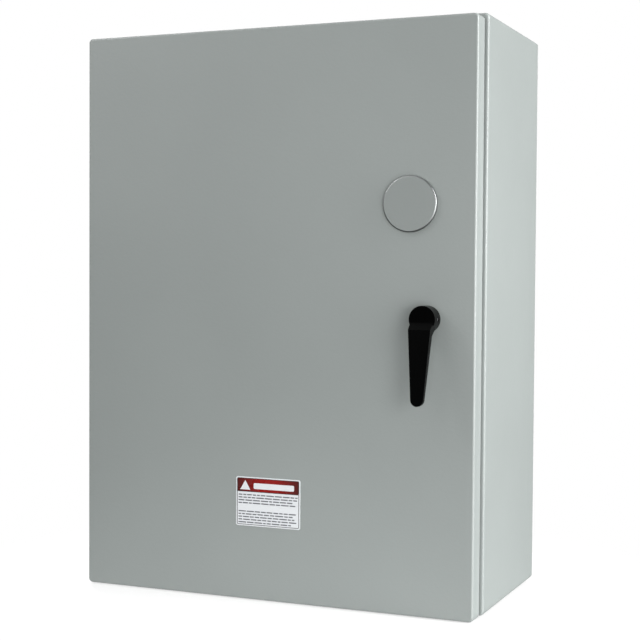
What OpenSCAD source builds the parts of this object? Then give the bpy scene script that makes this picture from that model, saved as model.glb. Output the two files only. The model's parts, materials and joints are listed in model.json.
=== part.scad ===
// Wall-mounted disconnect box: folded steel enclosure with a hinged overlay door, a three-point
// latch worked by a lever, and a fusible three-pole knife switch on a back panel.
// Frame: origin on the wall face, midway between the four wall holes. +X right, -Y out from
// the wall towards the person who opens the door, +Z up.
// Most modules are drawn flat, as seen from the front, and stood up by wall_frame():
// x right, y up, z out from the wall.

/* [Enclosure] */
// Width of the body
body_w = 458; // [440:1:500]
// Height of the body
body_h = 610; // [600:1:640]
// Depth of the body, wall to front flange
body_d = 200; // [196:1:230]
// Thickness of the sheet steel
sheet = 1.9; // [1.2:0.1:2.3]
// Width of the front flange around the opening
flange_w = 20; // [18:1:24]
// Height of the rain lip in front of the flange
rain_lip = 11; // [8:0.5:12]
// Spacing of the wall holes across
wall_hole_dx = 406.4; // [402:0.2:412]
// Spacing of the wall holes upwards
wall_hole_dy = 558.8; // [552:0.2:564]
// Radius of a wall hole
wall_hole_r = 5.6; // [4:0.1:6]

/* [Door] */
// Width of the door
door_w = 450; // [440:1:452]
// Top edge of the door above the centre
door_top = 301.5; // [298:0.5:303]
// Bottom edge of the door below the centre
door_bottom = 307; // [300:0.5:310]
// Depth of the door's returned lip
door_lip = 21.5; // [18:0.5:24]
// Gap between the body's front and the door's lip
door_gap = 1.5; // [1:0.1:2]

/* [Latch] */
// Place of the handle, to the right of the centre
handle_x = 174.8; // [165:0.2:176]
// Place of the handle, upwards
handle_y = -2.9; // [-10:0.1:10]
// Radius of the handle's hub
hub_r = 13.8; // [13:0.1:16]
// Length of the lever from the hub's axis to its tip
lever_len = 86; // [70:1:100]
// Travel of each latch rod for a quarter turn
rod_travel = 15; // [12:0.5:15]
// Radius at which the rod pins sit when latched
pin_reach = 27; // [26:0.5:27]

/* [Hole plug] */
// Place of the plug, to the right of the centre
plug_x = 155.4; // [140:0.2:156]
// Place of the plug, upwards
plug_y = 113.3; // [105:0.1:118]
// Radius of the plug's cap
plug_r = 28.8; // [26:0.1:30]

/* [Label] */
// Width of the label plate
label_w = 75; // [60:0.2:90]
// Height of the label plate
label_h = 52.6; // [40:0.2:60]
// Place of the label's middle, to the right of the centre
label_x = -2; // [-60:0.2:60]
// Place of the label's middle, upwards
label_y = -201.6; // [-230:0.2:-150]

/* [Switch] */
// Spacing of the switch poles
pole_pitch = 68; // [66:1:70]
// Thickness of a knife blade
blade_t = 5; // [4:0.5:5]
// Length of a fuse
fuse_len = 108; // [104:1:110]
// Radius of a fuse's end caps
fuse_r = 13.5; // [12:0.5:13.5]

/* [Hidden] */
$fn = 48;
steel_grey = [0.72, 0.735, 0.73];
zinc = [0.78, 0.79, 0.8];
copper = [0.8, 0.5, 0.32];
nylon_black = [0.08, 0.08, 0.085];
moulding_red = [0.42, 0.12, 0.09];

// Enclosure
half_w = body_w / 2;
half_h = body_h / 2;
open_x = half_w - flange_w;
open_y = half_h - flange_w;
corner_r = 4.5;
bend_r = 2.2;
lip_top = body_d + rain_lip;

// Door
door_h = door_top + door_bottom;
door_mid = (door_top - door_bottom) / 2;
door_back = body_d + door_gap;
door_front = door_back + door_lip;
door_in = door_front - sheet;
gasket_w = 14;
gasket_gap = 0.3;

// Hinge
knuckle_r = 3.5;
pin_r = 1.5;
run_fit = 0.05;
hinge_x = -half_w - 4;
hinge_z = body_d + 1;
knuckles = 9;
hinge_len = 558;
knuckle_len = hinge_len / knuckles;
knuckle_gap = 0.4;
leaf_t = 1.5;

// Back panel
panel_w = 381;
panel_h = 533.4;
panel_t = 2.3;
panel_back = 20;
panel_face = panel_back + panel_t;
stud_x = 177.8;
stud_y = 254;
stud_r = 4;

// Latch, measured in depth from the wall
bushing_flange = 0.8;
hub_back = door_front + bushing_flange + 0.3;
hub_h = 18.8;
hub_front = door_front + hub_h;
lever_root_r = 12.4;
lever_tip_r = 6.8;
side_inset = 0.05;
set_screw_z = door_front + 8.5;
set_screw_r = 2.2;
spindle_r = 5;
spindle_depth = 12;
barrel_r = 8;
barrel_len = 16;
cam_t = 3;
cam_back = body_d - 6;
cam_front = cam_back + cam_t;
cam_r = 32;
cam_nose = 45;
cam_screw_r = 2.5;
rod_w = 16;
rod_t = 3;
rod_front = cam_back - 1.5;
rod_back = rod_front - rod_t;
rod_pin_r = 2.5;
slot_r = 2.75;
slot_end_r = 2.8;
rod_tip_y = half_h - 8;
guide_ys = [172, 250];
guide_screw_x = 19.6;

// Plug
plug_t = 3;
plug_roll = 1.6;

// Switch, measured from the switch's own centre on the back panel
switch_x = -10;
base_w = 220;
base_top = 160;
base_bottom = -170;
base_t = 20;
pole_z = panel_face + base_t;
strap_t = 4;
blade_h = 16;
pivot_y = 2;
pivot_z = pole_z + 20;
pivot_r = 3;
jaw_gap = 0.2;
fuse_z = pole_z + strap_t + fuse_r + 0.2;
fuse_top = -26;
fuse_cap = 26;
contact_w = 26;
lug_h = 26;
wire_z = pole_z + 12;
wire_r = 7.5;
lug_screw_r = 5;
line_lug_y = [118, 152];
load_lug_y = [base_bottom + 4, fuse_top - fuse_len];
lever_x = 96;
lever_t = 5;
arm_y = 48;
arm_w = 20;
arm_reach = 70;

// ---------- shared shapes ----------

module wall_frame() rotate([90, 0, 0]) children();

module bar(x0, x1, y0, y1, z0, z1) translate([x0, y0, z0]) cube([x1 - x0, y1 - y0, z1 - z0]);

module peg(x, y, r, z0, z1) translate([x, y, z0]) cylinder(r = r, h = z1 - z0);

module four(dx, dy) for (sx = [-1, 1], sy = [-1, 1]) translate([sx * dx, sy * dy, 0]) children();

module at_poles() for (i = [-1:1]) translate([switch_x + i * pole_pitch, 0, 0]) children();

// Half of a slab's edge: a strip as wide as the corner radius, with rounded outer corners
module edge_profile(wide, deep, front_r, back_r) {
    square([wide - back_r, deep / 2]);
    translate([0, deep / 2]) square([wide - front_r, deep / 2]);
    translate([0, back_r]) square([wide, deep - front_r - back_r]);
    translate([wide - back_r, back_r]) circle(back_r);
    translate([wide - front_r, deep - front_r]) circle(front_r);
}

// A flat block with round corners in plan, and bends at its front and back edges
module slab(w, h, deep, plan_r, front_r, back_r) {
    across = w / 2 - plan_r;
    up = h / 2 - plan_r;
    bar(-across, across, -up, up, 0, deep);
    for (side = [0:3]) {
        reach = side % 2 == 0 ? across : up;
        run = side % 2 == 0 ? up : across;
        rotate(90 * side) translate([reach, run, 0]) {
            rotate([90, 0, 0]) linear_extrude(2 * run) edge_profile(plan_r, deep, front_r, back_r);
            rotate_extrude(angle = 90) edge_profile(plan_r, deep, front_r, back_r);
        }
    }
}

// A plate with round corners in plan
module plate(w, h, t, r) {
    linear_extrude(t) {
        square([w - 2 * r, h], center = true);
        square([w, h - 2 * r], center = true);
        four(w / 2 - r, h / 2 - r) circle(r);
    }
}

module hex_nut(across, t, bore) difference() {
    cylinder(r = across / sqrt(3), h = t, $fn = 6);
    translate([0, 0, -1]) cylinder(r = bore, h = t + 2);
}

// A slotted head with its shank behind it; the head's underside is at z = 0
module slotted_screw(head_r, head_t, shank_r, shank_len) {
    difference() {
        cylinder(r = head_r, h = head_t);
        translate([0, 0, head_t]) cube([2.2 * head_r, 1.4, 1.6], center = true);
    }
    translate([0, 0, -shank_len]) cylinder(r = shank_r, h = shank_len);
}

// ---------- enclosure ----------

module enclosure_body() color(steel_grey) wall_frame() {
    difference() {
        slab(body_w, body_h, body_d, corner_r, bend_r, bend_r);
        bar(sheet - half_w, half_w - sheet, sheet - half_h, half_h - sheet, sheet, body_d - sheet);
        bar(-open_x, open_x, -open_y, open_y, body_d - 2 * sheet, body_d + 1);
        four(wall_hole_dx / 2, wall_hole_dy / 2) peg(0, 0, wall_hole_r, -1, sheet + 1);
    }
    difference() {
        translate([0, 0, body_d - sheet])
            plate(2 * (open_x + sheet), 2 * (open_y + sheet), rain_lip + sheet, corner_r);
        bar(-open_x, open_x, -open_y, open_y, body_d - 2 * sheet, lip_top + 1);
    }
}

// Knuckles number first, first + 2, ... of the hinge, with their tabs
module hinge_knuckles(first) {
    for (i = [first:2:knuckles - 1])
        translate([hinge_x, i * knuckle_len - hinge_len / 2 + knuckle_gap / 2, hinge_z])
            rotate([-90, 0, 0]) children();
}

module knuckle() difference() {
    cylinder(r = knuckle_r, h = knuckle_len - knuckle_gap);
    translate([0, 0, -1]) cylinder(r = pin_r + run_fit, h = knuckle_len + 1);
}

module hinge_body_leaf() color(steel_grey) wall_frame() {
    leaf_x = -half_w - leaf_t;
    bar(leaf_x, -half_w, -hinge_len / 2, hinge_len / 2, body_d - 24, body_d - 3);
    hinge_knuckles(0) knuckle();
    for (i = [0:2:knuckles - 1]) {
        start = i * knuckle_len - hinge_len / 2 + knuckle_gap / 2;
        bar(leaf_x, -half_w, start, start + knuckle_len - knuckle_gap, body_d - 4, hinge_z);
    }
}

module hinge_pin() color(zinc) wall_frame() translate([hinge_x, -hinge_len / 2, hinge_z])
    rotate([-90, 0, 0]) {
        cylinder(r = pin_r, h = hinge_len);
        translate([0, 0, knuckle_gap / 2 - 1.5]) cylinder(r = 3, h = 1.5);
        translate([0, 0, hinge_len - knuckle_gap / 2]) cylinder(r = 3, h = 1.5);
    }

module back_panel() color("white") wall_frame() difference() {
    translate([0, 0, panel_back]) plate(panel_w, panel_h, panel_t, 3);
    four(stud_x, stud_y) peg(0, 0, stud_r + 0.3, panel_back - 1, panel_face + 1);
}

module panel_studs() color(zinc) wall_frame() four(stud_x, stud_y) {
    peg(0, 0, 8, sheet, panel_back);
    peg(0, 0, stud_r, panel_back, panel_face + 12);
}

module panel_nuts() color(zinc) wall_frame() four(stud_x, stud_y)
    translate([0, 0, panel_face]) hex_nut(13, 6.5, stud_r + run_fit);

module body_ground_stud() color(copper) wall_frame() translate([-stud_x - 31, -stud_y + 20, sheet]) {
    cylinder(r = 3, h = 24);
    translate([0, 0, 6]) hex_nut(10, 5, 3);
}

// ---------- switch ----------

module switch_base() color(nylon_black) wall_frame() difference() {
    mid = (base_top + base_bottom) / 2;
    translate([switch_x, mid, panel_face]) plate(base_w, base_top - base_bottom, base_t, 5);
    translate([switch_x, mid, 0]) four(base_w / 2 - 10, (base_top - base_bottom) / 2 - 10)
        peg(0, 0, 2.6, panel_face - 1, pole_z + 1);
}

module switch_screws() color(zinc) wall_frame()
    translate([switch_x, (base_top + base_bottom) / 2, pole_z])
        four(base_w / 2 - 10, (base_top - base_bottom) / 2 - 10) slotted_screw(5, 3, 2.5, base_t);

// A wire lug from y0 to y1, with its wire hole along y and its screw hole from the front
module wire_lug(ends) difference() {
    bar(-contact_w / 2, contact_w / 2, ends[0], ends[1], pole_z, pole_z + lug_h);
    translate([0, ends[0] - 1, wire_z]) rotate([-90, 0, 0])
        cylinder(r = wire_r, h = ends[1] - ends[0] + 2);
    peg(0, (ends[0] + ends[1]) / 2, lug_screw_r + 0.1, wire_z, pole_z + lug_h + 1);
}

module lug_screw(ends) translate([0, (ends[0] + ends[1]) / 2, wire_z + wire_r + 0.5]) difference() {
    cylinder(r = lug_screw_r, h = 11);
    translate([0, 0, 8]) cylinder(r = 2.6, h = 4, $fn = 6);
}

module line_lugs() color(zinc) wall_frame() at_poles() wire_lug(line_lug_y);

module line_lug_screws() color(zinc) wall_frame() at_poles() lug_screw(line_lug_y);

// Two spring leaves on a strap, a blade's thickness apart
module leaf_pair(y0, y1, leaf_y0, leaf_y1, leaf_h) {
    bar(-contact_w / 2, contact_w / 2, y0, y1, pole_z, pole_z + strap_t);
    for (side = [-1, 1]) {
        middle = side * (blade_t / 2 + jaw_gap + 1.5);
        bar(middle - 1.5, middle + 1.5, leaf_y0, leaf_y1, pole_z + strap_t - 1, pole_z + leaf_h);
    }
}

module line_jaws() color(copper) wall_frame() at_poles() leaf_pair(78, line_lug_y[0], 84, 108, 38);

module blade_clips() color(copper) wall_frame() at_poles() difference() {
    leaf_pair(fuse_top + 6, 16, pivot_y - 10, pivot_y + 10, 30);
    translate([-20, pivot_y, pivot_z]) rotate([0, 90, 0]) cylinder(r = pivot_r, h = 40);
}

// Pins across the blades, held by the clips
module blade_pins() color(zinc) wall_frame() at_poles() translate([-9, pivot_y, pivot_z])
    rotate([0, 90, 0]) {
        cylinder(r = pivot_r, h = 18);
        for (end = [0, 16]) translate([0, 0, end]) cylinder(r = 4.5, h = 2);
    }

module fuse_axis(y0) translate([0, y0, fuse_z]) rotate([-90, 0, 0]) children();

module fuse_clip(y0, y1) difference() {
    bar(-16.5, 16.5, y0, y1, pole_z, fuse_z + 9);
    fuse_axis(y0 - 1) cylinder(r = fuse_r, h = y1 - y0 + 2);
    bar(-11, 11, y0 - 1, y1 + 1, fuse_z, fuse_z + 20);
}

module fuse_clips() color(copper) wall_frame() at_poles() {
    fuse_clip(fuse_top - 22, fuse_top + 5);
    fuse_clip(fuse_top - fuse_len, fuse_top - fuse_len + 22);
}

module fuses() color("white") wall_frame() at_poles() fuse_axis(fuse_top - fuse_len) {
    translate([0, 0, fuse_cap]) cylinder(r = fuse_r - 0.8, h = fuse_len - 2 * fuse_cap);
    for (end = [0, fuse_len - fuse_cap]) translate([0, 0, end]) cylinder(r = fuse_r, h = fuse_cap);
}

module load_lugs() color(zinc) wall_frame() at_poles() wire_lug(load_lug_y);

module load_lug_screws() color(zinc) wall_frame() at_poles() lug_screw(load_lug_y);

// Insulating sheets between the poles on the line side
module phase_barriers() color(moulding_red) wall_frame() for (side = [-0.5, 0.5])
    bar(switch_x + side * pole_pitch - 1.5, switch_x + side * pole_pitch + 1.5, 77, 158,
        pole_z, pole_z + 56);

module lever_bracket() color(zinc) wall_frame() difference() {
    union() {
        bar(lever_x + 0.4, lever_x + 2.9, pivot_y - 16, pivot_y + 16, pole_z, pivot_z + 8);
        bar(lever_x - 13, lever_x + 1, pivot_y - 16, pivot_y + 16, pole_z, pole_z + 2.5);
    }
    translate([lever_x - 1, pivot_y, pivot_z]) rotate([0, 90, 0]) cylinder(r = pivot_r, h = 6);
}

module lever_pin() color(zinc) wall_frame() translate([lever_x - 8, pivot_y, pivot_z])
    rotate([0, 90, 0]) {
        cylinder(r = pivot_r, h = 12.4);
        cylinder(r = 4.5, h = 2);
        translate([0, 0, 10.9]) cylinder(r = 4.5, h = 1.5);
    }

module knife_blades() color(copper) wall_frame() at_poles() difference() {
    bar(-blade_t / 2, blade_t / 2, pivot_y - 9, 106, pivot_z - blade_h / 2, pivot_z + blade_h / 2);
    translate([-5, pivot_y, pivot_z]) rotate([0, 90, 0]) cylinder(r = pivot_r + run_fit, h = 10);
}

module blade_crossbar() color(moulding_red) wall_frame()
    bar(switch_x - pole_pitch - 14, lever_x - lever_t, arm_y + 2, arm_y + arm_w,
        pivot_z + blade_h / 2, pivot_z + blade_h / 2 + 12);

// The lever's plate runs from the pivot past the crossbar and out to the grip
module throw_lever() color(zinc) wall_frame() translate([lever_x, 0, 0]) rotate([0, -90, 0])
    linear_extrude(lever_t) difference() {
        union() {
            translate([pivot_z, pivot_y]) circle(9);
            translate([pivot_z, pivot_y]) square([9, arm_y + arm_w - pivot_y]);
            translate([pivot_z, arm_y]) square([arm_reach, arm_w]);
        }
        translate([pivot_z, pivot_y]) circle(pivot_r + run_fit);
    }

module throw_grip() color(moulding_red) wall_frame()
    translate([lever_x - lever_t / 2, arm_y + arm_w / 2, pivot_z + arm_reach]) difference() {
        translate([0, 0, -18]) plate(16, 26, 52, 6);
        bar(-lever_t / 2, lever_t / 2, -arm_w / 2, arm_w / 2, -19, 0);
    }

// ---------- neutral and ground ----------

neutral_x = 128;
neutral_top = 10;
neutral_len = 160;
neutral_taps = [for (i = [0:7]) neutral_top - 24 - 16 * i];
ground_y = -232;
ground_len = 130;
ground_taps = [for (i = [-3:3]) 16 * i];
tap_screw_r = 2.5;

module neutral_posts() color(nylon_black) wall_frame()
    for (y = [neutral_top - 12, neutral_top - neutral_len + 12])
        peg(neutral_x, y, 8, panel_face, pole_z);

module neutral_bar() color(zinc) wall_frame() difference() {
    bar(neutral_x - 8, neutral_x + 8, neutral_top - neutral_len, neutral_top, pole_z, pole_z + 12);
    for (y = neutral_taps) {
        translate([neutral_x - 9, y, pole_z + 6]) rotate([0, 90, 0]) cylinder(r = 3.2, h = 18);
        peg(neutral_x, y, tap_screw_r + 0.1, pole_z + 6, pole_z + 13);
    }
}

module neutral_screws() color(copper) wall_frame() for (y = neutral_taps)
    translate([neutral_x, y, pole_z + 12]) slotted_screw(3.6, 3, tap_screw_r, 4);

module ground_bar() color(zinc) wall_frame() difference() {
    bar(-ground_len / 2, ground_len / 2, ground_y - 8, ground_y + 8, panel_face, panel_face + 10);
    for (x = ground_taps) {
        translate([x, ground_y - 9, panel_face + 5]) rotate([-90, 0, 0]) cylinder(r = 3, h = 18);
        peg(x, ground_y, tap_screw_r + 0.1, panel_face + 5, panel_face + 11);
    }
}

module ground_screws() color("green") wall_frame() for (x = ground_taps)
    translate([x, ground_y, panel_face + 10]) slotted_screw(3.6, 3, tap_screw_r, 4);

// ---------- door ----------

module door_panel() color(steel_grey) wall_frame() difference() {
    translate([0, door_mid, door_back]) slab(door_w, door_h, door_lip, corner_r, bend_r, 0.01);
    translate([0, door_mid, door_back - 1]) slab(door_w - 2 * sheet, door_h - 2 * sheet,
        door_lip + 1 - sheet, corner_r - sheet, bend_r - sheet, 0.01);
    peg(handle_x, handle_y, barrel_r + 0.1, door_in - 1, door_front + 1);
    peg(plug_x, plug_y, plug_r - 6, door_in - 1, door_front + 1);
}

module hinge_door_leaf() color(steel_grey) wall_frame() {
    bar(-door_w / 2 - 1.2, -door_w / 2, -hinge_len / 2, hinge_len / 2, hinge_z + 1, door_front - 4);
    bar(hinge_x + knuckle_r + 0.3, -door_w / 2 - 1, -hinge_len / 2, hinge_len / 2,
        hinge_z + 1, hinge_z + 2.4);
    hinge_knuckles(1) knuckle();
    for (i = [1:2:knuckles - 1]) {
        start = i * knuckle_len - hinge_len / 2 + knuckle_gap / 2;
        bar(hinge_x + 2, -door_w / 2 - 1, start, start + knuckle_len - knuckle_gap,
            hinge_z + 1, hinge_z + 2.4);
    }
}

module door_gasket() color("dimgray") wall_frame() difference() {
    inner_x = open_x + sheet / 2 - gasket_w / 2;
    inner_y = open_y + sheet / 2 - gasket_w / 2;
    bar(-inner_x - gasket_w, inner_x + gasket_w, -inner_y - gasket_w, inner_y + gasket_w,
        lip_top + gasket_gap, door_in);
    bar(-inner_x, inner_x, -inner_y, inner_y, lip_top - 1, door_in + 1);
}

module label_plate() color("white") wall_frame() translate([label_x, label_y, door_front])
    plate(label_w, label_h, 0.5, 2);

// A pressed cap with a rolled edge and a threaded stud behind it
module plug_cap() color(steel_grey) wall_frame() translate([plug_x, plug_y, door_front + 0.8])
    rotate_extrude() {
        square([plug_r - plug_roll, plug_t]);
        square([plug_r, plug_t - plug_roll]);
        translate([plug_r - plug_roll, plug_t - plug_roll]) intersection() {
            circle(plug_roll);
            square(plug_roll + 1);
        }
        translate([0, -13]) square([3, 14]);
    }

module plug_gasket() color("dimgray") wall_frame() difference() {
    peg(plug_x, plug_y, plug_r - 1.5, door_front, door_front + 0.8);
    peg(plug_x, plug_y, plug_r - 7, door_front - 1, door_front + 1);
}

module plug_clamp() color(zinc) wall_frame() difference() {
    translate([plug_x, plug_y, door_in - 2]) plate(2 * plug_r + 4, 16, 2, 4);
    peg(plug_x, plug_y, 3.2, door_in - 3, door_in + 1);
}

module plug_nut() color(zinc) wall_frame() translate([plug_x, plug_y, door_in - 7])
    hex_nut(11, 5, 3);

module latch_bushing() color(nylon_black) wall_frame() difference() {
    union() {
        peg(handle_x, handle_y, barrel_r, door_in - barrel_len, door_front + bushing_flange);
        peg(handle_x, handle_y, 12.5, door_front, door_front + bushing_flange);
    }
    peg(handle_x, handle_y, spindle_r + run_fit, door_in - barrel_len - 1, door_front + 5);
}

module bushing_nut() color(zinc) wall_frame() translate([handle_x, handle_y, door_in - 5])
    hex_nut(24, 5, barrel_r + run_fit);

// A bridge on two feet; the rod slides through the slot under it
module rod_guide() {
    slide = 0.2;
    difference() {
        union() {
            bar(-15, 15, -5, 5, rod_back - 3, door_in);
            bar(-25, 25, -5, 5, door_in - 2.5, door_in);
        }
        bar(-rod_w / 2 - slide, rod_w / 2 + slide, -6, 6, rod_back - slide, rod_front + slide);
        bar(-11, 11, -6, 6, rod_front + 4, door_in + 1);
        for (side = [-1, 1]) peg(side * guide_screw_x, 0, 2.1, door_in - 4, door_in + 1);
    }
}

module at_guides() for (y = guide_ys, side = [-1, 1]) translate([handle_x, side * y, 0]) children();

module rod_guides() color(nylon_black) wall_frame() at_guides() rod_guide();

module guide_screws() color(zinc) wall_frame() at_guides() for (side = [-1, 1])
    translate([side * guide_screw_x, 0, door_in - 2.5]) mirror([0, 0, 1]) slotted_screw(4, 2.4, 2, 2.5);

module document_pocket() color("ivory") wall_frame() difference() {
    bar(-110, 90, -245, -95, door_in - 22, door_in);
    bar(-107.5, 87.5, -242.5, -90, door_in - 19.5, door_in - 2.5);
    bar(-60, 40, -125, -90, door_in - 23, door_in - 10);
}

module door_ground_stud() color(copper) wall_frame() translate([-150, -240, door_in - 18]) {
    cylinder(r = 3, h = 18);
    translate([0, 0, 6]) hex_nut(10, 5, 3);
}

// ---------- handle and latch ----------

module at_handle(z) translate([handle_x, handle_y, z]) children();

// The lever seen from the front: a round root and a round tip, joined by straight sides that run
// just inside their common tangents, so that each side crosses both circles
module lever_outline() {
    reach = lever_len - lever_tip_r;
    lean = asin((lever_root_r - lever_tip_r) / reach);
    root = lever_root_r - side_inset;
    tip = lever_tip_r - side_inset;
    right = [cos(lean), -sin(lean)];
    left = [-cos(lean), -sin(lean)];
    circle(lever_root_r);
    translate([0, -reach]) circle(lever_tip_r);
    polygon([root * left, root * right, tip * right - [0, reach], tip * left - [0, reach]]);
}

// The lever seen from the side: it steps out from the hub's face, then leans out to its tip.
// First number: upwards from the hub's axis. Second: out from the door's face.
module lever_side() polygon([[0, 12], [0, hub_h], [-3, hub_h], [-10, hub_h + 8],
    [-lever_len, hub_h + 14.2], [-lever_len, hub_h + 10], [-16, hub_h + 0.8], [-10, 12]]);

module set_screw_axis() at_handle(set_screw_z) rotate([0, 90, 0]) children();

module handle() color(nylon_black) wall_frame() difference() {
    union() {
        peg(handle_x, handle_y, hub_r, hub_back, hub_front);
        at_handle(door_front) intersection() {
            linear_extrude(40) lever_outline();
            rotate([90, 0, 90]) linear_extrude(4 * hub_r, center = true) lever_side();
        }
    }
    peg(handle_x, handle_y, spindle_r, hub_back - 1, hub_back + spindle_depth + 1);
    set_screw_axis() cylinder(r = set_screw_r, h = 2 * hub_r);
}

module handle_set_screw() color(zinc) wall_frame() set_screw_axis() translate([0, 0, spindle_r])
    difference() {
        cylinder(r = set_screw_r, h = hub_r - spindle_r - 1);
        translate([0, 0, hub_r - spindle_r - 3]) cylinder(r = 1.2, h = 3, $fn = 6);
    }

module spindle() color(zinc) wall_frame() difference() {
    peg(handle_x, handle_y, spindle_r, cam_back, hub_back + spindle_depth);
    peg(handle_x, handle_y, cam_screw_r, cam_back - 1, cam_back + 10);
}

module spindle_ring() color(zinc) wall_frame() difference() {
    peg(handle_x, handle_y, 8.5, cam_front, door_in - barrel_len - 0.4);
    peg(handle_x, handle_y, spindle_r, cam_front - 1, door_in);
}

// Radius of a rod pin when the handle has turned by angle, in degrees
function pin_radius(angle) = pin_reach - rod_travel * angle / 90;

// A point of the spiral seen on the cam, moved sideways, square to the spiral
function spiral_point(angle, side) =
    let (r = pin_radius(angle),
        slope = atan(rod_travel * 2 / (PI * r)),
        square_to = angle + slope)
    [-r * sin(angle) - side * sin(square_to), r * cos(angle) + side * cos(square_to)];

module spiral_slot() {
    polygon([for (a = [0:5:90]) spiral_point(a, slot_r), for (a = [90:-5:0]) spiral_point(a, -slot_r)]);
    for (a = [0, 90]) translate(spiral_point(a, 0)) circle(slot_end_r);
}

module latch_cam() color(zinc) wall_frame() at_handle(cam_back) linear_extrude(cam_t) difference() {
    union() {
        circle(cam_r);
        translate([0, -10]) square([cam_nose - 6, 20]);
        translate([cam_nose - 10, 0]) circle(10);
    }
    circle(spindle_r);
    for (turn = [0, 180]) rotate(turn) spiral_slot();
}

module cam_screw() color(zinc) wall_frame() at_handle(cam_back) mirror([0, 0, 1])
    slotted_screw(5.5, 3.2, cam_screw_r, 9);

// Both rods are drawn upwards from y0, and the lower one is mirrored
module rod(y0) difference() {
    bar(-rod_w / 2, rod_w / 2, y0 + pin_reach - 4.5, rod_tip_y - 4, rod_back, rod_front);
    peg(0, y0 + pin_reach, rod_pin_r, rod_back - 1, rod_front + 1);
}

module rod_pin(y0) peg(0, y0 + pin_reach, rod_pin_r, rod_back, cam_front + 0.6);

module glide(y0) difference() {
    translate([0, rod_tip_y - 10, rod_back - 2]) plate(rod_w + 3, 20, rod_t + 4, 4);
    bar(-rod_w / 2, rod_w / 2, y0, rod_tip_y - 4, rod_back, rod_front);
}

module upper() wall_frame() translate([handle_x, 0, 0]) children();

module lower() wall_frame() translate([handle_x, 0, 0]) mirror([0, 1, 0]) children();

module upper_rod() color(zinc) upper() rod(handle_y);

module upper_rod_pin() color(zinc) upper() rod_pin(handle_y);

module upper_glide() color(nylon_black) upper() glide(0);

module lower_rod() color(zinc) lower() rod(-handle_y);

module lower_rod_pin() color(zinc) lower() rod_pin(-handle_y);

module lower_glide() color(nylon_black) lower() glide(0);

enclosure_body();
hinge_body_leaf();
hinge_pin();
back_panel();
panel_studs();
panel_nuts();
switch_base();
switch_screws();
line_lugs();
line_lug_screws();
line_jaws();
blade_clips();
blade_pins();
fuse_clips();
fuses();
load_lugs();
load_lug_screws();
phase_barriers();
lever_bracket();
lever_pin();
neutral_posts();
neutral_bar();
neutral_screws();
ground_bar();
ground_screws();
body_ground_stud();
knife_blades();
blade_crossbar();
throw_lever();
throw_grip();
door_panel();
hinge_door_leaf();
door_gasket();
label_plate();
plug_cap();
plug_gasket();
plug_clamp();
plug_nut();
latch_bushing();
bushing_nut();
rod_guides();
guide_screws();
document_pocket();
door_ground_stud();
handle();
handle_set_screw();
spindle();
spindle_ring();
latch_cam();
cam_screw();
upper_rod();
upper_rod_pin();
upper_glide();
lower_rod();
lower_rod_pin();
lower_glide();
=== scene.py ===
"""Looks of the wall-mounted disconnect box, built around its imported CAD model."""
import json
import math
import random

import bmesh
import bpy
from mathutils import Matrix, Vector


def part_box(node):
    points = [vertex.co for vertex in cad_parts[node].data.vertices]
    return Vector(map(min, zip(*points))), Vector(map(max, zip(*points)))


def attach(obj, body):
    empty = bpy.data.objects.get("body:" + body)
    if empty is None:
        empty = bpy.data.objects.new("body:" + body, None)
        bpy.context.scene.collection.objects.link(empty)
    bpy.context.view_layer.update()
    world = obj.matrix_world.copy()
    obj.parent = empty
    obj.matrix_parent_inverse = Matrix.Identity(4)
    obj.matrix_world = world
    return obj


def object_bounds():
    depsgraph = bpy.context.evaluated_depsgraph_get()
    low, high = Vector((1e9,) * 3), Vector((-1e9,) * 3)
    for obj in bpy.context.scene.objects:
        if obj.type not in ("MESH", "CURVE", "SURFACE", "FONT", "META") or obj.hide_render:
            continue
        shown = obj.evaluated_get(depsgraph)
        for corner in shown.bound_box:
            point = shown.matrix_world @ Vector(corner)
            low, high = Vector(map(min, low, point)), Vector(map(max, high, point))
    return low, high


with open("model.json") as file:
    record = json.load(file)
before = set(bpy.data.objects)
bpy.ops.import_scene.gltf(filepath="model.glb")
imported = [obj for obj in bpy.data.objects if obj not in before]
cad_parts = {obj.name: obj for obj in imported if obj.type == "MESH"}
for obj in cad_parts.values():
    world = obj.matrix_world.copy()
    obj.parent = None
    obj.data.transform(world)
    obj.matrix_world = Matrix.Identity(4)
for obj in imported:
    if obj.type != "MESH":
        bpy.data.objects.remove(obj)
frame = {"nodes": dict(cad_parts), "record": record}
cad_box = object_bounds()

MM = 0.001

# ---------------------------------------------------------------- node helpers


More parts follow.
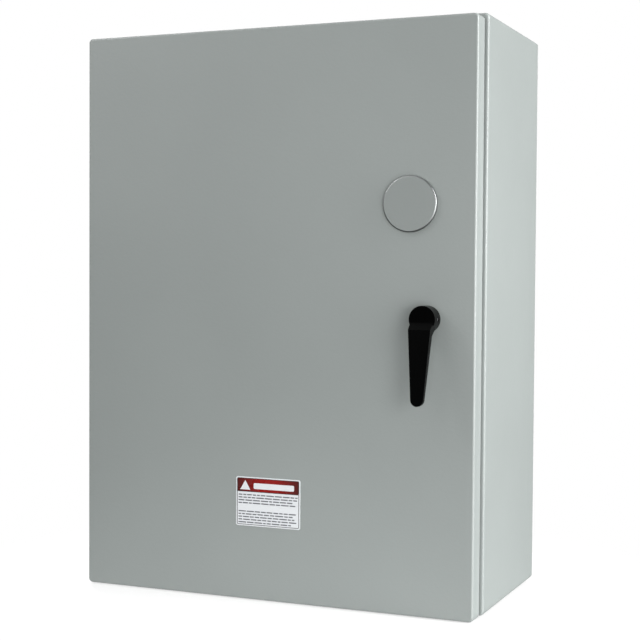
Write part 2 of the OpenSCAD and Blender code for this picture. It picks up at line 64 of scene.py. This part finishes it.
class Shader:
    """A material's node tree, with short calls for the nodes this script uses.
    Noise and cell scales are in cycles per metre."""

    def __init__(self, name, base, rough, metal=0.0):
        self.mat = bpy.data.materials.new(name)
        self.mat.use_nodes = True
        self.tree = self.mat.node_tree
        self.bsdf = self.tree.nodes["Principled BSDF"]
        self.place = self.tree.nodes.new("ShaderNodeTexCoord").outputs["Object"]
        self.last_bump = None
        self.set("Base Color", (*base, 1.0))
        self.set("Roughness", rough)
        self.set("Metallic", metal)

    def set(self, socket, value):
        self.bsdf.inputs[socket].default_value = value

    def link(self, output, node_input):
        self.tree.links.new(output, node_input)

    def stretched(self, scale):
        """Object coordinates, in metres, multiplied along each axis."""
        node = self.tree.nodes.new("ShaderNodeMapping")
        node.inputs["Scale"].default_value = scale
        self.link(self.place, node.inputs["Vector"])
        return node.outputs["Vector"]

    def noise(self, scale, detail=2.0, place=None, rough=0.5):
        node = self.tree.nodes.new("ShaderNodeTexNoise")
        node.inputs["Scale"].default_value = scale
        node.inputs["Detail"].default_value = detail
        node.inputs["Roughness"].default_value = rough
        self.link(place or self.place, node.inputs["Vector"])
        return node.outputs["Fac"]

    def cells(self, scale):
        node = self.tree.nodes.new("ShaderNodeTexVoronoi")
        node.inputs["Scale"].default_value = scale
        self.link(self.place, node.inputs["Vector"])
        return node.outputs["Distance"]

    def ramp(self, value, stops):
        """Maps a value through (position, colour) stops."""
        node = self.tree.nodes.new("ShaderNodeValToRGB")
        elements = node.color_ramp.elements
        while len(elements) < len(stops):
            elements.new(0.5)
        for element, (position, colour) in zip(elements, stops):
            element.position = position
            element.color = (*colour, 1.0)
        self.link(value, node.inputs["Fac"])
        return node.outputs["Color"]

    def span(self, value, low, high):
        """Maps 0..1 to low..high."""
        node = self.tree.nodes.new("ShaderNodeMapRange")
        node.inputs["To Min"].default_value = low
        node.inputs["To Max"].default_value = high
        self.link(value, node.inputs["Value"])
        return node.outputs["Result"]

    def axis(self, index):
        """One of the object coordinates, in metres: 0 for X, 1 for Y, 2 for Z."""
        node = self.tree.nodes.new("ShaderNodeSeparateXYZ")
        self.link(self.place, node.inputs["Vector"])
        return node.outputs[index]

    def math(self, kind, first, second=0.0):
        """A Math node; each operand is a number or an output."""
        node = self.tree.nodes.new("ShaderNodeMath")
        node.operation = kind
        for slot, value in enumerate((first, second)):
            if isinstance(value, (int, float)):
                node.inputs[slot].default_value = value
            else:
                self.link(value, node.inputs[slot])
        return node.outputs["Value"]

    def hypotenuse(self, first, second):
        """Length of the vector with these two components."""
        squares = [self.math("MULTIPLY", side, side) for side in (first, second)]
        return self.math("SQRT", self.math("ADD", *squares))

    def mix(self, factor, first, second):
        """Blends two colours, or colour outputs, by a factor. A Mix node's colour inputs are
        its sockets 6 and 7, and its colour result is output 2."""
        node = self.tree.nodes.new("ShaderNodeMix")
        node.data_type = "RGBA"
        self.link(factor, node.inputs["Factor"])
        for socket, value in ((node.inputs[6], first), (node.inputs[7], second)):
            if isinstance(value, tuple):
                socket.default_value = (*value, 1.0)
            else:
                self.link(value, socket)
        return node.outputs[2]

    def bump(self, height, strength, distance):
        """Adds a bump, distance metres high, on top of the bumps before it."""
        node = self.tree.nodes.new("ShaderNodeBump")
        node.inputs["Strength"].default_value = strength
        node.inputs["Distance"].default_value = distance
        self.link(height, node.inputs["Height"])
        if self.last_bump is not None:
            self.link(self.last_bump, node.inputs["Normal"])
        self.last_bump = node.outputs["Normal"]
        self.link(self.last_bump, self.bsdf.inputs["Normal"])

    def colour(self, output):
        self.link(output, self.bsdf.inputs["Base Color"])

    def roughness(self, output):
        self.link(output, self.bsdf.inputs["Roughness"])


def shade(colour, factor):
    """The colour made lighter or darker by a factor."""
    return tuple(min(1.0, c * factor) for c in colour)


# ------------------------------------------------------------------- materials


def powder_shader(name, base, rough, peel):
    """Baked powder coat: orange peel about 2 mm across, a finer grain and faint cloudiness."""
    s = Shader(name, base, rough)
    s.paint = s.ramp(s.noise(5.0, 3.0), [(0.3, shade(base, 0.975)), (0.7, shade(base, 1.025))])
    s.colour(s.paint)
    s.roughness(s.span(s.noise(18.0, 3.0), rough - 0.05, rough + 0.06))
    s.bump(s.noise(330.0, 1.5), 0.3 * peel, 0.35 * MM)
    s.bump(s.noise(1300.0, 2.0), 0.08 * peel, 0.12 * MM)
    s.set("Coat Weight", 0.12)
    s.set("Coat Roughness", 0.22)
    return s


def powder_coat(name, base, rough=0.36, peel=1.0):
    """Powder coat in one colour."""
    return powder_shader(name, base, rough, peel).mat


def rimmed_coat(name, base, node_name, band):
    """Powder coat on a round cap that faces the front. The rolled rim, band metres wide at
    its edge, is bare polished steel."""
    steel = (0.27, 0.28, 0.28)
    s = powder_shader(name, base, 0.34, 0.7)
    near, far = (Vector(corner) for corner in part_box(node_name))
    hub = (near + far) / 2
    across, up = (s.math("SUBTRACT", s.axis(i), hub[i]) for i in (0, 2))
    rim = s.math("GREATER_THAN", s.hypotenuse(across, up), (far.x - near.x) / 2 - band)
    s.link(rim, s.bsdf.inputs["Metallic"])
    s.colour(s.mix(rim, s.paint, steel))
    s.roughness(s.span(rim, 0.36, 0.3))
    return s.mat


def zinc_plate(name):
    """Zinc plated steel: pale, a little blue, with rolling streaks and cloudy dull patches."""
    base = (0.4, 0.41, 0.428)
    s = Shader(name, base, 0.3, 1.0)
    cloud = s.noise(38.0, 5.0)
    streak = s.noise(1.0, 3.0, s.stretched((900.0, 900.0, 60.0)))
    patched = s.ramp(cloud, [(0.25, shade(base, 0.72)), (0.75, shade(base, 1.12))])
    s.colour(s.mix(s.span(streak, 0.0, 0.5), patched, shade(base, 0.72)))
    s.roughness(s.span(cloud, 0.46, 0.66))
    s.bump(streak, 0.12, 0.12 * MM)
    return s.mat


def copper(name):
    """Bare copper with a brown bloom of tarnish and fine draw lines."""
    s = Shader(name, (0.84, 0.44, 0.28), 0.3, 1.0)
    bloom = s.noise(55.0, 6.0, rough=0.6)
    brown, red, bright = (0.5, 0.22, 0.12), (0.8, 0.4, 0.25), (0.93, 0.55, 0.38)
    s.colour(s.ramp(bloom, [(0.3, brown), (0.55, red), (0.8, bright)]))
    s.roughness(s.span(bloom, 0.5, 0.22))
    s.bump(s.noise(1.0, 2.0, s.stretched((1400.0, 1400.0, 50.0))), 0.1, 0.08 * MM)
    return s.mat


def tin_plate(name):
    """Tin plated aluminium: soft and pale, with a frosty grain."""
    base = (0.78, 0.785, 0.79)
    s = Shader(name, base, 0.36, 1.0)
    grain = s.noise(240.0, 4.0)
    s.colour(s.ramp(grain, [(0.3, shade(base, 0.86)), (0.7, shade(base, 1.04))]))
    s.roughness(s.span(grain, 0.3, 0.5))
    s.bump(grain, 0.12, 0.1 * MM)
    return s.mat


def moulding(name, base, rough, flow=0.15, grain=0.25, specular=0.5):
    """Moulded plastic: spark-eroded grain, with faint flow marks in colour and gloss."""
    s = Shader(name, base, rough)
    marks = s.noise(1.0, 4.0, s.stretched((40.0, 40.0, 12.0)))
    s.colour(s.ramp(marks, [(0.3, shade(base, 1 - flow)), (0.7, shade(base, 1 + flow))]))
    s.roughness(s.span(marks, rough - 0.07, rough + 0.09))
    s.bump(s.noise(1500.0, 2.5), grain, 0.14 * MM)
    s.set("Specular IOR Level", specular)
    return s.mat


def fibre_sheet(name):
    """Vulcanised fibre: dark, with short random fibres."""
    s = Shader(name, (0.06, 0.058, 0.055), 0.6)
    fibres = s.noise(1.0, 5.0, s.stretched((500.0, 500.0, 90.0)))
    s.colour(s.ramp(fibres, [(0.35, (0.035, 0.034, 0.033)), (0.65, (0.1, 0.097, 0.09))]))
    s.roughness(s.span(fibres, 0.5, 0.72))
    s.bump(fibres, 0.2, 0.12 * MM)
    return s.mat


def foam(name):
    """Closed-cell gasket foam: matt black, with its cells showing."""
    s = Shader(name, (0.03, 0.03, 0.032), 0.85)
    cell = s.cells(900.0)
    s.colour(s.ramp(cell, [(0.0, (0.012, 0.012, 0.013)), (0.6, (0.05, 0.05, 0.053))]))
    s.roughness(s.span(cell, 0.95, 0.75))
    s.bump(cell, 0.6, 0.35 * MM)
    return s.mat


def film_shader(name, base, rough):
    """Label film: smooth, with a soft waviness. Its print_screen is for the colour."""
    s = Shader(name, base, rough)
    s.print_screen = s.noise(1700.0, 1.0)
    s.roughness(s.span(s.noise(60.0, 2.0), rough - 0.06, rough + 0.08))
    s.bump(s.noise(90.0, 1.0), 0.05, 0.1 * MM)
    return s


def film(name, base):
    """Printed label film in one colour, with a faint print screen."""
    s = film_shader(name, base, 0.3)
    s.colour(s.ramp(s.print_screen, [(0.35, shade(base, 0.97)), (0.65, shade(base, 1.03))]))
    return s.mat


def header_ink(name, wide):
    """Red ink on film, darker towards both ends of the header; wide is in metres."""
    red, dark_red, shadow = (0.25, 0.01, 0.009), (0.075, 0.012, 0.011), (0.02, 0.003, 0.003)
    s = film_shader(name, red, 0.26)
    left, right = (corner[0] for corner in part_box("label_plate"))
    from_middle = s.math("ABSOLUTE", s.math("SUBTRACT", s.axis(0), (left + right) / 2))
    ends = s.ramp(s.math("DIVIDE", from_middle, wide / 2), [(0.25, red), (0.95, dark_red)])
    s.colour(s.mix(s.span(s.print_screen, 0.0, 0.12), ends, shadow))
    return s.mat


def fuse_body(name):
    """A buff fibre tube between two nickel end caps."""
    cap_long = 26 * MM
    s = Shader(name, (0.7, 0.62, 0.45), 0.55)
    low, high = (corner[2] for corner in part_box("fuses"))
    up = s.axis(2)
    top_cap = s.math("GREATER_THAN", up, high - cap_long)
    cap = s.math("MAXIMUM", top_cap, s.math("LESS_THAN", up, low + cap_long))
    fibres = s.noise(1.0, 4.0, s.stretched((300.0, 300.0, 1500.0)))
    tube = s.ramp(fibres, [(0.3, (0.6, 0.5, 0.33)), (0.7, (0.78, 0.7, 0.52))])
    metal = s.ramp(s.noise(70.0, 4.0), [(0.3, (0.6, 0.6, 0.58)), (0.7, (0.78, 0.77, 0.74))])
    s.colour(s.mix(cap, tube, metal))
    s.link(cap, s.bsdf.inputs["Metallic"])
    s.roughness(s.span(cap, 0.6, 0.28))
    s.bump(fibres, 0.12, 0.1 * MM)
    return s.mat


PAINT = (0.278, 0.303, 0.295)
grey_paint = powder_coat("grey_powder_coat", PAINT)
cap_paint = rimmed_coat("hole_plug_coat", shade(PAINT, 0.87), "plug_cap", 1.3 * MM)
white_paint = powder_coat("white_powder_coat", (0.8, 0.8, 0.785), 0.32, 0.8)
zinc = zinc_plate("zinc_plated_steel")
copper_bare = copper("bare_copper")
tinned = tin_plate("tin_plated_aluminium")
green_dye = powder_coat("green_dyed_screw", (0.03, 0.22, 0.07), 0.3, 0.4)
black_moulding = moulding("black_moulding", (0.018, 0.018, 0.019), 0.5)
black_coat = moulding("black_handle_coat", (0.0007, 0.0008, 0.0008), 0.26, 0.1, 0.05, specular=0.045)
red_moulding = moulding("red_moulding", (0.3, 0.035, 0.022), 0.45)
barrier = fibre_sheet("fibre_sheet")
gasket_foam = foam("gasket_foam")
label_white = film("label_white", (0.68, 0.7, 0.72))
pocket_grey = moulding("pocket_polystyrene", (0.5, 0.5, 0.47), 0.4, 0.04, 0.2)
fuse_skin = fuse_body("fuse_tube_and_caps")

SKINS = {
    "painted_steel": grey_paint, "panel_paint": white_paint, "zinc_steel": zinc,
    "bar_aluminium": tinned, "copper": copper_bare, "green_screw": green_dye,
    "black_moulding": black_moulding, "black_handle": black_coat, "red_moulding": red_moulding,
    "barrier_sheet": barrier, "fuse_tube": fuse_skin, "gasket_foam": gasket_foam,
    "label_film": label_white, "pocket_plastic": pocket_grey,
}
slot_of = {part["node"]: part["material_slot"] for part in frame["record"]["subparts"]}


def skin(obj, material):
    obj.data.materials.clear()
    obj.data.materials.append(material)


def soften(obj, width):
    """Breaks sharp edges, as on a real casting or a cut edge."""
    bevel = obj.modifiers.new("soft_edges", "BEVEL")
    bevel.width = width
    bevel.segments = 2
    bevel.limit_method = "ANGLE"
    bevel.angle_limit = math.radians(35)
    bevel.harden_normals = True


for name, node in frame["nodes"].items():
    skin(node, SKINS[slot_of[name]])
skin(frame["nodes"]["plug_cap"], cap_paint)

# Bevel widths, in millimetres.
SOFT_EDGES = {
    "handle": 1.1, "switch_base": 1.2, "throw_grip": 2.0, "blade_crossbar": 1.4, "line_lugs": 0.8,
    "load_lugs": 0.8, "neutral_bar": 0.6, "ground_bar": 0.6, "rod_guides": 0.7, "document_pocket": 0.8,
    "knife_blades": 0.5, "line_jaws": 0.35, "blade_clips": 0.35, "fuse_clips": 0.35, "fuses": 0.7,
    "upper_glide": 0.8, "lower_glide": 0.8, "latch_cam": 0.4, "throw_lever": 0.6, "neutral_posts": 0.6,
    "latch_bushing": 0.3, "upper_rod": 0.4, "lower_rod": 0.4, "back_panel": 0.5, "lever_bracket": 0.4,
    "door_gasket": 1.5, "hinge_body_leaf": 0.2, "hinge_door_leaf": 0.2, "plug_clamp": 0.4,
    "label_plate": 0.12, "panel_nuts": 0.4, "bushing_nut": 0.4, "phase_barriers": 0.4,
}
for name, width in SOFT_EDGES.items():
    soften(frame["nodes"][name], width * MM)

# ----------------------------------------------------------------------- label

PLATE_LOW, PLATE_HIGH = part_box("label_plate")
PRINT = 0.06 * MM


def round_rect(left, right, bottom, top, radius, steps=6):
    """Outline of a rectangle with round corners, anticlockwise as seen from the front."""
    corners = ((right - radius, top - radius, 0), (left + radius, top - radius, 90),
               (left + radius, bottom + radius, 180), (right - radius, bottom + radius, 270))
    return [(x + radius * math.cos(math.radians(start + 90 * i / steps)),
             y + radius * math.sin(math.radians(start + 90 * i / steps)))
            for x, y, start in corners for i in range(steps + 1)]


def printed(name, outlines, material, layer=1, hole=None):
    """Closed, very thin solids on the label's face. Outlines are in millimetres from the
    plate's lower left corner; with a hole, the one outline is a ring around it."""
    mesh = bpy.data.meshes.new(name)
    bm = bmesh.new()
    back = PLATE_LOW[1] - 0.01 * MM
    front = PLATE_LOW[1] - layer * PRINT

    def ring(points, depth):
        return [bm.verts.new((PLATE_LOW[0] + x * MM, depth, PLATE_LOW[2] + y * MM)) for x, y in points]

    def wall(near, far):
        for i in range(len(near)):
            j = (i + 1) % len(near)
            bm.faces.new((near[i], far[i], far[j], near[j]))

    for points in outlines:
        near, far = ring(points, front), ring(points, back)
        wall(near, far)
        if hole is None:
            bm.faces.new(near)
            bm.faces.new(far[::-1])
        else:
            near_hole, far_hole = ring(hole, front), ring(hole, back)
            wall(near_hole[::-1], far_hole[::-1])
            for i in range(len(near)):
                j = (i + 1) % len(near)
                bm.faces.new((near[i], near[j], near_hole[j], near_hole[i]))
                bm.faces.new((far[j], far[i], far_hole[i], far_hole[j]))
    bmesh.ops.recalc_face_normals(bm, faces=bm.faces)
    bm.to_mesh(mesh)
    bm.free()
    obj = bpy.data.objects.new(name, mesh)
    bpy.context.collection.objects.link(obj)
    skin(obj, material)
    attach(obj, "door")


def make_label():
    """A generic label: red header with a plain triangle and bar, and grey bars for its lines.
    All sizes are in millimetres."""
    wide = (PLATE_HIGH[0] - PLATE_LOW[0]) / MM
    tall = (PLATE_HIGH[2] - PLATE_LOW[2]) / MM
    border = 1.2
    line = 0.6
    corner, inner_corner = 1.4, 0.9
    inside = border + line
    header = tall - 15.4
    dark_ink = film("label_dark_ink", (0.03, 0.029, 0.03))
    red_ink = header_ink("label_red_ink", wide * MM)
    outer = round_rect(border, wide - border, border, tall - border, corner)
    inner = round_rect(inside, wide - inside, inside, tall - inside, inner_corner)
    printed("label_outline", [outer], dark_ink, hole=inner)
    banner = round_rect(inside, wide - inside, header, tall - inside, inner_corner)
    printed("label_header", [banner], red_ink)
    rule = round_rect(inside, wide - inside, header - line, header, 0.1)
    printed("label_header_rule", [rule], dark_ink)

    triangle_x, triangle_half = 10.9, 6.0
    foot, peak = header + 1.6, header + 11.8
    triangle = [(triangle_x - triangle_half, foot), (triangle_x + triangle_half, foot), (triangle_x, peak)]
    printed("label_triangle", [triangle], label_white, layer=2)
    bar = round_rect(left=20.8, right=wide - 7.0, bottom=header + 2.9, top=header + 9.1, radius=1.2)
    printed("label_header_bar", [bar], label_white, layer=2)

    # Each block of lines: how far its first line is from the top, and where each line ends.
    blocks = ((19.2, (72.2, 71.6, 68.2, 69.8)), (37.0, (71.4, 66.6, 68.6, 70.8, 64.6)))
    line_pitch, line_half, line_start = 2.95, 0.62, 2.9
    shortest, longest, word_gap = 3.0, 9.5, 1.0
    least_room = 2.0
    lengths = random.Random(4)
    words = []
    for first, ends in blocks:
        for row, reach in enumerate(ends):
            y = tall - first - line_pitch * row
            x = line_start
            while x < reach - least_room:
                end = min(x + lengths.uniform(shortest, longest), reach)
                words.append(round_rect(x, end, y - line_half, y + line_half, 0.3, 2))
                x = end + word_gap
    printed("label_lines", words, film("label_grey_ink", (0.14, 0.145, 0.16)))


make_label()

# ---------------------------------------------------------------- stage, lights

box_low, box_high = (Vector(corner) for corner in cad_box)
centre = (box_low + box_high) / 2
FLOOR_R = 0.45


def stage_floor():
    """A pale round floor, just under the box, that fades out into the white backdrop. It is
    kept out of reflections, as the box hangs on a wall."""
    bpy.ops.mesh.primitive_circle_add(
        vertices=96, radius=FLOOR_R, fill_type="NGON",
        location=(centre.x, centre.y, box_low.z - 1 * MM))
    floor = bpy.context.object
    floor.name = "floor"
    s = Shader("pale_floor", (0.35, 0.35, 0.35), 0.6)
    s.roughness(s.span(s.noise(4.0, 2.0), 0.55, 0.7))
    s.set("Emission Color", (1, 1, 1, 1))
    s.set("Emission Strength", 0.6)
    reach = s.hypotenuse(s.axis(0), s.axis(1))
    fade = s.ramp(s.math("DIVIDE", reach, FLOOR_R), [(0.5, (1, 1, 1)), (0.98, (0, 0, 0))])
    s.link(fade, s.bsdf.inputs["Alpha"])
    skin(floor, s.mat)
    floor.visible_glossy = False


def world_light(seen, low, high):
    """A white studio tent. The camera sees it at one even strength. Its light grows from low,
    at eye level and below, to high overhead. A Mix node's plain number inputs are its
    sockets 2 and 3, and its result is output 0."""
    world = bpy.data.worlds.new("studio")
    world.use_nodes = True
    tree = world.node_tree
    direction = tree.nodes.new("ShaderNodeTexCoord")
    split = tree.nodes.new("ShaderNodeSeparateXYZ")
    tree.links.new(direction.outputs["Generated"], split.inputs["Vector"])
    above = tree.nodes.new("ShaderNodeMath")
    above.operation = "MAXIMUM"
    above.inputs[1].default_value = 0.0
    tree.links.new(split.outputs["Z"], above.inputs[0])
    curve = tree.nodes.new("ShaderNodeMath")
    curve.operation = "POWER"
    curve.inputs[1].default_value = 2.0
    tree.links.new(above.outputs["Value"], curve.inputs[0])
    sky = tree.nodes.new("ShaderNodeMapRange")
    sky.inputs["To Min"].default_value = low
    sky.inputs["To Max"].default_value = high
    tree.links.new(curve.outputs["Value"], sky.inputs["Value"])
    rays = tree.nodes.new("ShaderNodeLightPath")
    choose = tree.nodes.new("ShaderNodeMix")
    choose.inputs[3].default_value = seen
    tree.links.new(rays.outputs["Is Camera Ray"], choose.inputs["Factor"])
    tree.links.new(sky.outputs["Result"], choose.inputs[2])
    background = tree.nodes["Background"]
    background.inputs["Color"].default_value = (1, 1, 1, 1)
    tree.links.new(choose.outputs[0], background.inputs["Strength"])
    bpy.context.scene.world = world


def area_light(name, place, target, size, watts):
    """A rectangular softbox that the camera doesn't see."""
    data = bpy.data.lights.new(name, "AREA")
    data.shape = "RECTANGLE"
    data.size, data.size_y = size
    data.energy = watts
    lamp = bpy.data.objects.new(name, data)
    bpy.context.collection.objects.link(lamp)
    lamp.visible_camera = False
    lamp.location = place
    lamp.rotation_euler = (Vector(target) - Vector(place)).to_track_quat("-Z", "Y").to_euler()


def studio_camera():
    """The camera stands to the right of the box, level with its middle, and looks back at it."""
    data = bpy.data.cameras.new("camera")
    data.sensor_width = 36.0
    data.lens = 78.26
    camera = bpy.data.objects.new("camera", data)
    bpy.context.collection.objects.link(camera)
    place = (0.6222, -1.5571, 0.0438)
    turn, dip, roll = (math.radians(angle) for angle in (22.97, 1.97, 0.36))
    camera.matrix_world = (
        Matrix.Translation(place)
        @ Matrix.Rotation(turn, 4, "Z")
        @ Matrix.Rotation(math.pi / 2 - dip, 4, "X")
        @ Matrix.Rotation(roll, 4, "Z")
    )
    bpy.context.scene.camera = camera


# Apart from the softbox, the lamps on the right stay lower than the box's top, so that the top
# doesn't glare when it is seen from behind.
stage_floor()
world_light(seen=1.0, low=0.1, high=0.85)
area_light("right_softbox", place=(2.3, -0.15, 0.9), target=(0.229, -0.1, 0.1), size=(0.7, 1.8), watts=86)
area_light("left_key", place=(-1.1, -1.3, 1.1), target=(0.1, -0.2, 0.05), size=(2.4, 2.4), watts=16.0)
area_light("left_strip", place=(-0.9, -0.95, 0.85), target=(0.15, -0.22, 0.1), size=(0.16, 0.6), watts=3.7)
area_light("low_fill", place=(0.95, -0.95, -0.2), target=(0.2, -0.2, -0.1), size=(2.0, 0.9), watts=12.5)
area_light("right_spot", place=(0.95, -1.05, 0.08), target=(0.15, -0.22, 0.05), size=(0.4, 0.4), watts=3.4)
area_light("side_fill", place=(1.8, -0.1, -0.25), target=(0.229, -0.1, -0.25), size=(0.8, 0.5), watts=3.6)
area_light("back_fill", place=(-1.1, 1.7, 0.9), target=(0.0, 0.0, 0.0), size=(1.5, 1.5), watts=26)
studio_camera()
bpy.context.scene.view_settings.view_transform = "Standard"
